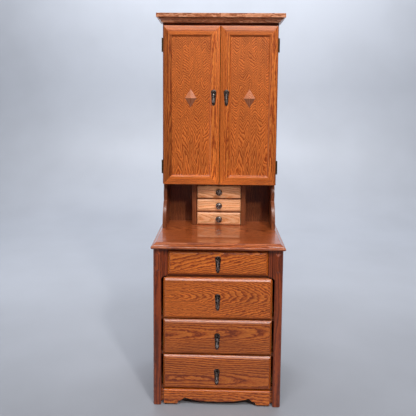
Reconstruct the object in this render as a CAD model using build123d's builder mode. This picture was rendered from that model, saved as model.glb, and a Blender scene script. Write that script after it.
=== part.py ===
from build123d import *

import os

# A tall, narrow oak storage piece in two stages: a chest of four drawers with a moulded desk top,
# an open tier with three little drawers between two niches, and a two-door cabinet under a cornice.
# Frame: +Z up, the front faces -Y, origin on the floor at the middle of the footprint.

# ---- driving dimensions, in millimetres ----
overall_height = 1800.0
overall_depth = 470.0
cornice_half = 305.0  # half the width over the cornice
desk_half = 299.0  # half the width over the desk top's nosing
chest_half = 290.0  # half the width over the corner posts
cabinet_half = 278.0  # half the width over the upper cabinet's sides

front_y = -overall_depth / 2  # foremost line, the desk top's nosing
back_y = overall_depth / 2
desk_overhang = 16.0
post_face_y = front_y + desk_overhang
post_width = 36.0
post_depth = 30.0
post_inner = chest_half - post_width
desk_top_z = 761.0
desk_thickness = 27.5
desk_under_z = desk_top_z - desk_thickness

board = 18.0  # carcass board thickness
back_board = 6.0
back_panel_y = 222.0  # front face of the cabinet and chest backs

cabinet_z = 980.0
cabinet_top_z = 1760.0
cabinet_face_y = 62.0  # front edge of the cabinet's sides
door_face_y = 40.0
door_gap = 1.0  # from the middle line to each door
door_outer = 274.0
door_low, door_high = cabinet_z + 1, cabinet_top_z - 13  # a shadow gap stays under the cornice
outer_stile, inner_stile, top_rail, bottom_rail = 42.0, 49.0, 51.0, 46.0
frame_lip_thickness, frame_rebate_depth = 10.0, 9.0  # in front of the panel's face and behind it
door_panel_thickness = 6.0
panel_lip = 6.0  # how far a panel runs behind its frame

# Big drawers: name, half width, low and high edge of the front, corner radius, face, box half
# width, top of the pull
big_drawers = (
    ("drawer_1", 224.0, 613.0, 724.0, 0.0, post_face_y + 3, 216.0, 702.0),
    ("drawer_2", 245.0, 411.0, 600.0, 12.0, post_face_y + 1, 234.0, 529.0),
    ("drawer_3", 245.0, 244.0, 406.0, 0.0, post_face_y + 1, 234.0, 347.0),
    ("drawer_4", 245.0, 80.0, 239.0, 0.0, post_face_y + 1, 234.0, 179.0),
)
front_thickness = 20.0
rail_height = 18.0
rail_depth = 40.0
rail_face_y = post_face_y + 23
rail_centres = (77.5, 241.5, 408.5, 606.5, desk_under_z - rail_height / 2)
box_clearance = 6.5  # from a rail to the drawer box above or below it
runner_gap = 0.5
box_board = 12.0
box_back_y = 205.0
stile_inner, stile_step = 225.5, 245.0
stile_radius = 18.0
stile_face_y, strip_face_y = post_face_y + 8, post_face_y + 0.5

# Small drawers in the open tier
small_rows = ((763.0, 825.0), (833.0, 893.0), (901.0, 961.0))
small_half = 110.0
case_half, case_board = 135.0, 22.0
case_face_y = 121.0
tier_back_y = 219.0

hinge_x, hinge_y = 281.0, 60.5
hinge_radius, pin_radius = 3.0, 1.2
hinge_length, hinge_lows = 67.0, (1033.0, 1623.0)
leaf_thickness = 1.2

shelf_heights = (1235.0, 1490.0)
shelf_thickness = 16.0
shelf_pin_radius, shelf_pin_length = 2.5, 14.0
shelf_pin_depths = (95.0, 195.0)

os.makedirs("parts", exist_ok=True)


def front_plane(y):
    """A plane facing the viewer at depth y, with X to the right and Z up."""
    return Plane.XZ.offset(-y)


def side_plane(x):
    """A plane facing +X at x, with Y to the right and Z up."""
    return Plane.YZ.offset(x)


def slab(x, y, z, mode=Mode.ADD):
    """A rectangular block between the limits given for each axis."""
    middle = ((x[0] + x[1]) / 2, (y[0] + y[1]) / 2, (z[0] + z[1]) / 2)
    with Locations(middle):
        Box(abs(x[1] - x[0]), y[1] - y[0], z[1] - z[0], mode=mode)


def save(builder, name):
    builder.part.label = name
    export_step(builder.part, f"parts/{name}.step")


def save_group(pieces, name):
    """Separate solids that share one node, each keeping its own faces where they touch."""
    group = Compound(children=[Solid(piece.part.solid().wrapped) for piece in pieces])
    group.label = name
    export_step(group, f"parts/{name}.step")


def boards(name, *limits):
    """One node of square-edged boards, each given by its limits in X, Y and Z."""
    pieces = []
    for x, y, z in limits:
        with BuildPart() as plain:
            slab(x, y, z)
        pieces.append(plain)
    save_group(pieces, name)


def both_sides(inner, outer):
    """The same span of X on the left and on the right, low to high."""
    return (-outer, -inner), (inner, outer)


# ---- chest ----
def front_post(side, name):
    """Corner post with rounded front edges and a raised hipped prism beside the top drawer."""
    prism_x, prism_half, prism_height = 267.0, 12.0, 5.0
    prism_low, prism_high, hip = 630.0, 716.0, 12.0
    outer_radius, inner_radius, foot_chamfer = 11.0, 3.0, 2.0
    with BuildPart() as prism:
        with BuildSketch(Plane.XY.offset(prism_low)):
            with BuildLine():
                Polyline(
                    (side * (prism_x - prism_half), post_face_y + 1),
                    (side * prism_x, post_face_y - prism_height),
                    (side * (prism_x + prism_half), post_face_y + 1),
                    close=True,
                )
            make_face()
        extrude(amount=prism_high - prism_low)
        with BuildSketch(Plane.YZ):
            with BuildLine():
                Polyline(
                    (post_face_y + 1, prism_low),
                    (post_face_y - prism_height, prism_low + hip),
                    (post_face_y - prism_height, prism_high - hip),
                    (post_face_y + 1, prism_high),
                    close=True,
                )
            make_face()
        extrude(amount=chest_half, both=True, mode=Mode.INTERSECT)
    with BuildPart() as post:
        x = sorted((side * post_inner, side * chest_half))
        slab(x, (post_face_y, post_face_y + post_depth), (0, desk_under_z))
        for radius, pick in ((inner_radius, 0), (outer_radius, -1)):
            front_edges = post.edges().filter_by(Axis.Z).group_by(Axis.Y)[0]
            fillet(front_edges.sort_by(lambda edge: abs(edge.center().X))[pick], radius=radius)
        chamfer(post.faces().sort_by(Axis.Z)[0].edges(), length=foot_chamfer)
        add(prism.part)
    save(post, name)


front_post(-1, "front_post_left")
front_post(1, "front_post_right")

rear_post_chamfer = 2.0
with BuildPart() as rear_posts:
    for side in (-1, 1):
        x = sorted((side * post_inner, side * chest_half))
        slab(x, (back_y - post_width, back_y), (0, desk_under_z))
    chamfer(rear_posts.edges().filter_by(Axis.Z), length=rear_post_chamfer)
save(rear_posts, "rear_posts")

side_panel_x, side_panel_low = (270.0, 286.0), 40.0
for side, name in ((-1, "side_panel_left"), (1, "side_panel_right")):
    panel_y = (post_face_y + post_depth, back_y - post_width)
    boards(name, (sorted(side * x for x in side_panel_x), panel_y, (side_panel_low, desk_under_z)))

back_panel_low = 60.0
boards(
    "chest_back_panel",
    (
        (-post_inner, post_inner),
        (back_panel_y, back_panel_y + back_board),
        (back_panel_low, desk_under_z),
    ),
)

# The bottom board is notched round the two rear posts
bottom_z = (68.5, 74.5)
with BuildPart() as chest_bottom_board:
    slab((-side_panel_x[0], side_panel_x[0]), (rail_face_y + rail_depth, back_y - post_width), bottom_z)
    slab((-post_inner, post_inner), (back_y - post_width, back_panel_y), bottom_z)
save(chest_bottom_board, "chest_bottom_board")


# Five rails between the posts, behind the drawer fronts
rail_y = (rail_face_y, rail_face_y + rail_depth)
boards(
    "front_rails",
    *(
        ((-post_inner, post_inner), rail_y, (centre - rail_height / 2, centre + rail_height / 2))
        for centre in rail_centres
    ),
)

# Beside the top drawer: a strip flush with the post and a stile set back from it. Their lower ends
# are scooped to follow the rounded corner of the drawer below.
stile_low, stile_back_y = rail_centres[3], rail_face_y
scoop_x, scoop_z = post_inner - stile_radius, stile_low - stile_radius
scoop_step = (stile_step, scoop_z + (stile_radius**2 - (stile_step - scoop_x) ** 2) ** 0.5)


def stile_part(side, face, start, end, flat):
    """Upright board between two widths, with the scoop from start to end and any flat before it."""
    with BuildPart() as upright:
        with BuildSketch(front_plane(stile_back_y)):
            with BuildLine():
                RadiusArc((side * start[0], start[1]), (side * end[0], end[1]), side * stile_radius)
                Polyline(
                    (side * end[0], end[1]),
                    (side * end[0], desk_under_z),
                    (side * flat[0], desk_under_z),
                    *([(side * flat[0], flat[1])] if flat[0] < start[0] else []),
                    (side * start[0], start[1]),
                )
            make_face()
        extrude(amount=stile_back_y - face)
    return upright


stiles = []
for side in (-1, 1):
    scoop_start, scoop_end = (scoop_x, stile_low), (post_inner, scoop_z)
    stiles.append(stile_part(side, stile_face_y, scoop_start, scoop_step, (stile_inner, stile_low)))
    stiles.append(stile_part(side, strip_face_y, scoop_step, scoop_end, scoop_step))
save_group(stiles, "top_drawer_stiles")

# Runners that carry the drawer boxes, screwed to the side panels
runner_y = (rail_face_y + rail_depth, back_y - post_width)
runner_height = runner_bearing = 14.0
runners = []
for (*_, box_half, _), rail in zip(big_drawers, rail_centres[3::-1]):
    top = rail + rail_height / 2 + box_clearance - runner_gap
    for x in both_sides(box_half - runner_bearing, side_panel_x[0]):
        runners.append((x, runner_y, (top - runner_height, top)))
boards("drawer_runners", *runners)


# Desk top edge, as inset from the nose and height above the underside: bead, quirk, hollow slope
bead_points = ((7, 0), (0, 7.5), (5, 14.5))
quirk_points = ((5, 14.5), (7, 15.5), (6, 17.5))
slope_points = ((6, 17.5), (12, 23), (20, desk_thickness))


def desk_edge(nose, inward, start):
    """Half outline of the desk top, from its underside round the edge up to the flat."""
    bead, quirk, slope = (
        [(nose + inward * inset, desk_under_z + height) for inset, height in points]
        for points in (bead_points, quirk_points, slope_points)
    )
    Line(start, bead[0])
    ThreePointArc(*bead)
    Polyline(*quirk)
    ThreePointArc(*slope)
    return slope[-1]


with BuildPart() as desk_top:
    with BuildSketch(Plane.YZ):
        with BuildLine():
            flat_edge = desk_edge(front_y, 1, (back_y, desk_under_z))
            Polyline(flat_edge, (back_y, desk_top_z), (back_y, desk_under_z))
        make_face()
    extrude(amount=desk_half, both=True)
    with BuildSketch(Plane.XZ):
        with BuildLine():
            right_flat = desk_edge(desk_half, -1, (0, desk_under_z))
            left_flat = desk_edge(-desk_half, 1, (0, desk_under_z))
            Line(left_flat, right_flat)
        make_face()
    extrude(amount=overall_depth, both=True, mode=Mode.INTERSECT)
save(desk_top, "desk_top")

# Apron under the bottom drawer: flat feet, a step, a peak and a long shallow arch. A glue block
# at each end joins it to the post.
apron_half, apron_low, apron_high = 242.0, 8.0, 75.0
apron_back_y = post_face_y + 21
apron_step = ((179, apron_low), (174, 20), (162, 23), (146, 37))
apron_arch = ((146, 37), (80, 26), (0, 20))
block_depth, block_z = 26.0, (10.0, 67.0)
with BuildPart() as apron:
    with BuildSketch(front_plane(apron_back_y)):
        with BuildLine():
            for side in (-1, 1):
                Polyline(
                    (0, apron_high),
                    (side * apron_half, apron_high),
                    (side * apron_half, apron_low),
                    *((side * x, z) for x, z in apron_step),
                )
                Spline(
                    [(side * x, z) for x, z in apron_arch],
                    tangents=[(-side, -0.35), (-side, 0)],
                )
        make_face()
    extrude(amount=front_thickness)
    fillet(apron.edges().filter_by(Axis.X).group_by(Axis.Z)[-1].sort_by(Axis.Y)[0], radius=8.0)
apron_pieces = [apron]
for x in both_sides(apron_half - 2, post_inner):
    with BuildPart() as glue_block:
        slab(x, (apron_back_y, apron_back_y + block_depth), block_z)
    apron_pieces.append(glue_block)
save_group(apron_pieces, "apron")

# ---- open tier ----
# Front edge of a bracket, as depth and height above the desk top: hollow, small step, round nose
bracket_x = (cabinet_half - board, cabinet_half)
bracket_toe_y = 42.0
bracket_hollow = ((43, 8), (66, 39), (84, 79), (90, 123))
bracket_step = ((90, 123), (101, 131), (100, 139))
bracket_nose = ((100, 139), (94, 165), (104, 195))


def above_desk(points):
    return [(y, desk_top_z + height) for y, height in points]


with BuildPart() as cabinet_brackets:
    for side in (-1, 1):
        with BuildSketch(side_plane(side * bracket_x[0])):
            with BuildLine():
                Spline(above_desk(bracket_hollow), tangents=[(0.2, 1), (0, 1)])
                Polyline(above_desk(bracket_step))
                ThreePointArc(*above_desk(bracket_nose))
                Polyline(
                    above_desk(bracket_nose)[-1],
                    (bracket_nose[-1][0], cabinet_z),
                    (back_y, cabinet_z),
                    (back_y, desk_top_z),
                    (bracket_toe_y, desk_top_z),
                    above_desk(bracket_hollow)[0],
                )
            make_face()
        extrude(amount=side * board)
save(cabinet_brackets, "cabinet_brackets")

boards(
    "hutch_back_panel",
    (
        (-bracket_x[0], bracket_x[0]),
        (tier_back_y, tier_back_y + back_board),
        (desk_top_z, cabinet_z),
    ),
)

case_inner = case_half - case_board
divider_setback, divider_half, drawer_gap = 4.0, 2.5, 3.0
divider_y = (case_face_y + divider_setback, tier_back_y)
dividers = [
    ((below[1] + above[0]) / 2 - divider_half, (below[1] + above[0]) / 2 + divider_half)
    for below, above in zip(small_rows, small_rows[1:])
]
dividers.append((small_rows[-1][1] + drawer_gap, cabinet_z))
boards(
    "small_drawer_case",
    *((x, (case_face_y, tier_back_y), (desk_top_z, cabinet_z)) for x in both_sides(case_inner, case_half)),
    *(((-case_inner, case_inner), divider_y, z) for z in dividers),
)

# ---- cabinet ----
cabinet_inner = cabinet_half - board
pin_hole_depth, pin_play = 8.0, 0.05


def pin_places(x):
    """Where the shelf pins of one side lie, all along X, under the shelves."""
    heights = [height - shelf_pin_radius for height in shelf_heights]
    return [Location((x, y, z), (0, 90, 0)) for z in heights for y in shelf_pin_depths]


for side, name in ((-1, "cabinet_side_left"), (1, "cabinet_side_right")):
    with BuildPart() as cabinet_side:
        x = sorted((side * cabinet_inner, side * cabinet_half))
        slab(x, (cabinet_face_y, back_y), (cabinet_z, cabinet_top_z))
        with Locations(pin_places(side * (cabinet_inner + pin_hole_depth / 2))):
            Cylinder(shelf_pin_radius + pin_play, pin_hole_depth, mode=Mode.SUBTRACT)
    save(cabinet_side, name)

boards(
    "cabinet_top",
    (
        (-cabinet_inner, cabinet_inner),
        (cabinet_face_y, back_panel_y),
        (cabinet_top_z - board, cabinet_top_z),
    ),
)
boards(
    "cabinet_bottom",
    (
        (-cabinet_inner, cabinet_inner),
        (cabinet_face_y, back_panel_y),
        (cabinet_z, cabinet_z + board),
    ),
)
boards(
    "cabinet_back_panel",
    (
        (-cabinet_inner, cabinet_inner),
        (back_panel_y, back_panel_y + back_board),
        (cabinet_z, cabinet_top_z),
    ),
)

shelf_half, shelf_y = cabinet_inner - 0.8, (cabinet_face_y + 8, back_panel_y - 1)
boards(
    "cabinet_shelves",
    *(((-shelf_half, shelf_half), shelf_y, (low, low + shelf_thickness)) for low in shelf_heights),
)

pin_in_wood = 6.0
with BuildPart() as shelf_pins:
    for side in (-1, 1):
        with Locations(pin_places(side * (cabinet_inner + pin_in_wood - shelf_pin_length / 2))):
            Cylinder(shelf_pin_radius, shelf_pin_length)
save(shelf_pins, "shelf_pins")

catch_x, catch_depth, catch_height = (14.0, 46.0), 16.0, 12.0
catch_y = (cabinet_face_y + 1, cabinet_face_y + 1 + catch_depth)
catch_z = (cabinet_top_z - board - catch_height, cabinet_top_z - board)
boards("door_catches", *((x, catch_y, catch_z) for x in both_sides(*catch_x)))

# Cornice: three mitred mouldings, the board that closes them on top and a rail at the back.
# Profile as inset from the nose and height above the underside: hollow, quirk, square top band.
cornice_front_y = door_face_y - 27.0
cornice_width = 70.0
cornice_height = overall_height - cabinet_top_z
hollow_points = ((25, 0), (19, 9), (9, 15))
quirk_corner, band_low = (9, 18), (0, 20)


def cornice_profile(nose, inward):
    """Closed outline of the moulding, from its inside edge round to it again."""
    hollow = [(nose + inward * inset, cabinet_top_z + height) for inset, height in hollow_points]
    inside = nose + inward * cornice_width
    Polyline((inside, overall_height), (inside, cabinet_top_z), hollow[0])
    ThreePointArc(*hollow)
    Polyline(
        hollow[-1],
        (nose + inward * quirk_corner[0], cabinet_top_z + quirk_corner[1]),
        (nose + inward * band_low[0], cabinet_top_z + band_low[1]),
        (nose, overall_height),
        (inside, overall_height),
    )


with BuildPart() as cornice_front:
    with BuildSketch(Plane.YZ):
        with BuildLine():
            cornice_profile(cornice_front_y, 1)
        make_face()
    extrude(amount=cornice_half, both=True)
    with BuildSketch(Plane.XY.offset(cabinet_top_z)):
        with BuildLine():
            Polyline(
                (-cornice_half, cornice_front_y),
                (cornice_half, cornice_front_y),
                (cornice_half - cornice_width, cornice_front_y + cornice_width),
                (-cornice_half + cornice_width, cornice_front_y + cornice_width),
                close=True,
            )
        make_face()
    extrude(amount=cornice_height, mode=Mode.INTERSECT)

with BuildPart() as cornice_right:
    with BuildSketch(Plane.XZ):
        with BuildLine():
            cornice_profile(cornice_half, -1)
        make_face()
    extrude(amount=overall_depth, both=True)
    with BuildSketch(Plane.XY.offset(cabinet_top_z)):
        with BuildLine():
            Polyline(
                (cornice_half, cornice_front_y),
                (cornice_half, back_y),
                (cornice_half - cornice_width, back_y),
                (cornice_half - cornice_width, cornice_front_y + cornice_width),
                close=True,
            )
        make_face()
    extrude(amount=cornice_height, mode=Mode.INTERSECT)

with BuildPart() as cornice_left:
    add(mirror(cornice_right.part, about=Plane.YZ, mode=Mode.PRIVATE))

inside_x = (-cornice_half + cornice_width, cornice_half - cornice_width)
cap_z = overall_height - 12.0
with BuildPart() as cornice_cap:
    slab(inside_x, (cornice_front_y + cornice_width, back_y), (cap_z, overall_height))
with BuildPart() as cornice_back:
    slab(inside_x, (back_y - board, back_y), (cabinet_top_z, cap_z))

save_group((cornice_front, cornice_right, cornice_left, cornice_cap, cornice_back), "cornice")


# ---- hinges ----
knuckles = 5
knuckle_step = hinge_length / knuckles
knuckle_gap, leaf_gap, hinge_play = 0.15, 0.3, 0.05
leaf_reach, leaf_root, leaf_edge = 23.0, 1.5, 4.0  # how far from the pin each leaf starts and ends


def hinge_leaves(sides, moving, name):
    """Leaves with their share of the five knuckles; the fixed ones also carry the pins."""
    leaf_y = [hinge_y + leaf_gap, hinge_y + leaf_gap + leaf_thickness]
    if moving:
        leaf_y = [2 * hinge_y - y for y in reversed(leaf_y)]
    with BuildPart() as leaves:
        for side in sides:
            inner, outer = side * (hinge_x - leaf_reach), side * (hinge_x - leaf_root)
            for low in hinge_lows:
                for index in range(int(moving), knuckles, 2):
                    with BuildSketch(Plane.XY.offset(low + index * knuckle_step + knuckle_gap)):
                        with Locations((side * hinge_x, hinge_y)):
                            Circle(hinge_radius)
                        with Locations(((inner + outer) / 2, sum(leaf_y) / 2)):
                            Rectangle(abs(outer - inner), leaf_thickness)
                        if moving:
                            with Locations((side * hinge_x, hinge_y)):
                                Circle(pin_radius + hinge_play, mode=Mode.SUBTRACT)
                    extrude(amount=knuckle_step - 2 * knuckle_gap)
                leaf_z = (low + knuckle_gap, low + hinge_length - knuckle_gap)
                slab(sorted((inner, side * (hinge_x - leaf_edge))), leaf_y, leaf_z)
                if not moving:
                    with BuildSketch(Plane.XY.offset(leaf_z[0])):
                        with Locations((side * hinge_x, hinge_y)):
                            Circle(pin_radius)
                    extrude(amount=leaf_z[1] - leaf_z[0])
    save(leaves, name)


hinge_leaves((-1, 1), False, "fixed_hinge_leaves")


# ---- drop pulls ----
pull_height, pull_top_radius, pull_tip_radius = 78.0, 14.0, 9.0
plate_thickness = 2.5
pivot_drop, pivot_out = 17.0, 8.0  # pivot below the plate's top and in front of the wood
pull_pin_radius, pin_clearance = 1.5, 0.05
ear_x, ear_out, ear_half = (4.0, 6.5), 11.0, 3.0
drop_length, drop_thickness, drop_edge = 66.0, 7.0, 2.0  # length from the plate's top
drop_neck_radius, drop_bulb_radius, neck_below = 3.0, 7.0, 5.0
eye_radius, eye_half = 3.2, 3.6


def pull_plate(x, top, face, name):
    """Tapering back plate with two ears and the pin that the drop hangs on."""
    pivot = top - pivot_drop
    with BuildPart() as plate:
        with BuildSketch(front_plane(face)):
            with Locations((x, top - pull_top_radius)):
                Circle(pull_top_radius)
            with Locations((x, top - pull_height + pull_tip_radius)):
                Circle(pull_tip_radius)
            make_hull()
        extrude(amount=plate_thickness)
        for side in (-1, 1):
            ear = sorted((x + side * ear_x[0], x + side * ear_x[1]))
            slab(ear, (face - ear_out, face - plate_thickness), (pivot - ear_half, pivot + ear_half))
        with BuildSketch(side_plane(x)):
            with Locations((face - pivot_out, pivot)):
                Circle(pull_pin_radius)
        extrude(amount=ear_x[1], both=True)
    save(plate, name)


def pull_drop(x, top, face, name):
    """The hanging drop: an eye round the pin and a flattened teardrop below it."""
    pivot = top - pivot_drop
    with BuildPart() as drop:
        with BuildSketch(front_plane(face - pivot_out + drop_thickness / 2)):
            with Locations((x, pivot - neck_below)):
                Circle(drop_neck_radius)
            with Locations((x, top - drop_length + drop_bulb_radius)):
                Circle(drop_bulb_radius)
            make_hull()
        extrude(amount=drop_thickness)
        fillet(drop.edges().filter_by(Axis.Y, reverse=True), radius=drop_edge)
        with BuildSketch(side_plane(x)):
            with Locations((face - pivot_out, pivot)):
                Circle(eye_radius)
        extrude(amount=eye_half, both=True)
        with BuildSketch(side_plane(x)):
            with Locations((face - pivot_out, pivot)):
                Circle(pull_pin_radius + pin_clearance)
        extrude(amount=drop_bulb_radius, both=True, mode=Mode.SUBTRACT)
    save(drop, name)


# ---- doors ----
panel_x = (door_gap + inner_stile, door_outer - outer_stile)
panel_z = (door_low + bottom_rail, door_high - top_rail)
panel_face_y = door_face_y + frame_lip_thickness
rebate_share = 0.15  # how far along each mitre the rebate reaches from the panel opening
frame_chamfer = 2.5
door_pull_x, door_pull_top = 31.0, 1443.5


def frame_members(side):
    """Four mitred members, each with a rebate behind its inner edge for the panel."""
    outer = [(side * door_gap, door_low), (side * door_outer, door_low)]
    outer += [(side * door_outer, door_high), (side * door_gap, door_high)]
    inner = [(side * panel_x[0], panel_z[0]), (side * panel_x[1], panel_z[0])]
    inner += [(side * panel_x[1], panel_z[1]), (side * panel_x[0], panel_z[1])]
    rebate = [
        tuple(i + (o - i) * rebate_share for o, i in zip(outside, inside))
        for outside, inside in zip(outer, inner)
    ]
    layers = ((inner, door_face_y, frame_lip_thickness), (rebate, panel_face_y, frame_rebate_depth))
    members = []
    for index in range(4):
        after = (index + 1) % 4
        with BuildPart() as member:
            for near, depth, thickness in layers:
                with BuildSketch(front_plane(depth)):
                    with BuildLine():
                        Polyline(outer[index], outer[after], near[after], near[index], close=True)
                    make_face()
                extrude(amount=-thickness)
            front_edges = member.edges().group_by(Axis.Y)[0].sort_by(Edge.length)[-2:]
            chamfer(front_edges, length=frame_chamfer)
        members.append(member)
    return members


diamond_x, diamond_z = 142.0, 1402.0
diamond_half_width, diamond_half_height, diamond_rise = 28.0, 45.0, 9.0
diamond_blunt = 0.04  # size of the tip's flat against the base
side_play, end_play = 0.4, 1.5  # of the panel inside its rebate


def door_panel(side, name):
    """Flat panel held by the frame, with a raised four-sided diamond at its middle."""
    lip_x, lip_z = panel_lip - side_play, panel_lip - end_play
    with BuildPart() as panel:
        slab(
            sorted((side * (panel_x[0] - lip_x), side * (panel_x[1] + lip_x))),
            (panel_face_y, panel_face_y + door_panel_thickness),
            (panel_z[0] - lip_z, panel_z[1] + lip_z),
        )
        for depth, scale in ((panel_face_y, 1.0), (panel_face_y - diamond_rise, diamond_blunt)):
            half_width, half_height = diamond_half_width * scale, diamond_half_height * scale
            with BuildSketch(front_plane(depth)):
                with Locations((side * diamond_x, diamond_z)):
                    Polygon(
                        (-half_width, 0),
                        (0, -half_height),
                        (half_width, 0),
                        (0, half_height),
                        align=None,
                    )
        loft(ruled=True)
    save(panel, name)


for side, door in ((-1, "door_left"), (1, "door_right")):
    save_group(frame_members(side), f"{door}_frame")
    door_panel(side, f"{door}_panel")
    hinge_leaves((side,), True, f"{door}_hinge_leaves")
    pull_plate(side * door_pull_x, door_pull_top, door_face_y, f"{door}_pull_plate")
    pull_drop(side * door_pull_x, door_pull_top, door_face_y, f"{door}_drop")


# ---- drawers ----
def drawer_front(half, low, high, radius, face, thickness, edge, name):
    """Solid front with a sloped edge all round and, where asked, rounded top corners."""
    with BuildPart() as front:
        with BuildSketch(front_plane(face)) as outline:
            with Locations((0, (low + high) / 2)):
                Rectangle(2 * half, high - low)
            if radius:
                fillet(outline.vertices().group_by(Axis.Y)[-1], radius=radius)
        extrude(amount=-thickness)
        chamfer(front.faces().sort_by(Axis.Y)[0].edges(), length=edge)
    save(front, name)


bottom_lift, back_fall = 8.0, 6.0  # the bottom above the lower edge, the back below the upper edge


def drawer_box(half, low, high, near, far, side_board, bottom_board, name):
    """Two sides, an inner front, a lower back and a bottom let in above their lower edges."""
    inner = half - side_board
    bottom = low + bottom_lift
    boards(
        name,
        *((x, (near, far), (low, high)) for x in both_sides(inner, half)),
        ((-inner, inner), (near, near + side_board), (low, high)),
        ((-inner, inner), (far - side_board, far), (low, high - back_fall)),
        ((-inner, inner), (near + side_board, far - side_board), (bottom, bottom + bottom_board)),
    )


front_chamfer, box_bottom = 8.0, 5.0
for drawer, rail in zip(big_drawers, rail_centres[3::-1]):
    name, half, low, high, radius, face, box_half, pull_top = drawer
    drawer_front(half, low, high, radius, face, front_thickness, front_chamfer, f"{name}_front")
    rail_above = rail_centres[rail_centres.index(rail) + 1]
    drawer_box(
        box_half,
        rail + rail_height / 2 + box_clearance,
        rail_above - rail_height / 2 - box_clearance,
        face + front_thickness,
        box_back_y,
        box_board,
        box_bottom,
        f"{name}_box",
    )
    pull_plate(0, pull_top, face, f"{name}_pull_plate")
    pull_drop(0, pull_top, face, f"{name}_drop")

small_front_thickness, small_chamfer = 12.0, 6.0
small_box_side, small_box_bottom = 8.0, 3.0
small_box_play, small_box_fall, small_box_back = 1.5, 6.0, 3.0
knob_radius, knob_reach = 16.0, 21.0
# Half outline of a knob, as radius and distance from the drawer's face: foot, waist and rim
knob_foot = ((10, 0), (9, 3), (6, 7), (8, 11), (knob_radius, 14))
knob_dome = ((knob_radius, 14), (11.2, knob_reach - 2), (0, knob_reach))

for number, (low, high) in enumerate(reversed(small_rows), start=1):
    name = f"small_drawer_{number}"
    face = case_face_y
    drawer_front(small_half, low, high, 0.0, face, small_front_thickness, small_chamfer, f"{name}_front")
    drawer_box(
        small_half - small_box_play,
        low + small_box_play,
        high - small_box_fall,
        face + small_front_thickness,
        tier_back_y - small_box_back,
        small_box_side,
        small_box_bottom,
        f"{name}_box",
    )
    middle = (low + high) / 2
    with BuildPart() as knob:
        with BuildSketch(Plane.XY.offset(middle)):
            with BuildLine():
                Polyline(
                    (0, face - knob_reach),
                    (0, face),
                    *((radius, face - reach) for radius, reach in knob_foot),
                )
                Spline(
                    [(radius, face - reach) for radius, reach in knob_dome],
                    tangents=[(-0.2, -1), (-1, 0)],
                )
            make_face()
        revolve(axis=Axis((0, 0, middle), (0, 1, 0)))
    save(knob, f"{name}_knob")
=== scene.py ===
import math

import bmesh
import bpy
import numpy as np
from mathutils import Matrix, Vector


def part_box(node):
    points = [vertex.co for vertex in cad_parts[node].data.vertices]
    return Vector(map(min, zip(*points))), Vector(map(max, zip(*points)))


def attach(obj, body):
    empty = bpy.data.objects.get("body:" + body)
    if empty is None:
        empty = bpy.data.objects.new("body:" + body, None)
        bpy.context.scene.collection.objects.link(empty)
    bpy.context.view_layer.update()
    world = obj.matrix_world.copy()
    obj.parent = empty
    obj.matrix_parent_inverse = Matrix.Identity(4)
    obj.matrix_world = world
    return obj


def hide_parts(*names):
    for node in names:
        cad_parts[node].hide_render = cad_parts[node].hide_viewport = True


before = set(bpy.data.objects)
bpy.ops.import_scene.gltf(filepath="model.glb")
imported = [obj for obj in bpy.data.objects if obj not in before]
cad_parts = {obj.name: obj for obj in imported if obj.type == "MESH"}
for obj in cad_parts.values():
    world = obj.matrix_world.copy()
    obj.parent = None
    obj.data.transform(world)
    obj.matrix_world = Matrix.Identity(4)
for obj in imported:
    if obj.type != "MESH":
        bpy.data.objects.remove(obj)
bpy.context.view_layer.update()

mm = 0.001


def meshPiece(name, points, faces, sharpAngle=32):
    # welds points that coincide, turns every face outwards and keeps edges above sharpAngle crisp
    mesh = bpy.data.meshes.new(name)
    mesh.from_pydata(np.asarray(points, float).tolist(), [], faces)
    work = bmesh.new()
    work.from_mesh(mesh)
    bmesh.ops.remove_doubles(work, verts=work.verts, dist=2e-6)
    bmesh.ops.dissolve_degenerate(work, edges=work.edges, dist=1e-7)
    bmesh.ops.recalc_face_normals(work, faces=work.faces)
    work.to_mesh(mesh)
    work.free()
    mesh.shade_smooth()
    mesh.set_sharp_from_angle(angle=math.radians(sharpAngle))
    piece = bpy.data.objects.new(name, mesh)
    bpy.context.scene.collection.objects.link(piece)
    return piece


def ringFaces(ringCount, pointCount, first=0):
    # quads between neighbouring closed rings, and one face over each end
    ring, point = np.meshgrid(np.arange(ringCount - 1), np.arange(pointCount), indexing="ij")
    here = first + ring * pointCount + point
    beside = first + ring * pointCount + (point + 1) % pointCount
    quads = np.stack([here, beside, beside + pointCount, here + pointCount], -1).reshape(-1, 4).tolist()
    lastRing = first + (ringCount - 1) * pointCount
    ends = [list(range(first, first + pointCount)), list(range(lastRing, lastRing + pointCount))]
    return quads + ends


def ringPiece(name, rings, sharpAngle=32):
    # rings: an array of closed rings, each a row of points in metres
    ringCount, pointCount = rings.shape[:2]
    return meshPiece(name, rings.reshape(-1, 3), ringFaces(ringCount, pointCount), sharpAngle)


def ringGroup(name, groups, sharpAngle=32):
    # several ring stacks joined into one piece
    points, faces, first = [], [], 0
    for rings in groups:
        ringCount, pointCount = rings.shape[:2]
        points.append(rings.reshape(-1, 3))
        faces += ringFaces(ringCount, pointCount, first)
        first += ringCount * pointCount
    return meshPiece(name, np.concatenate(points), faces, sharpAngle)


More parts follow.
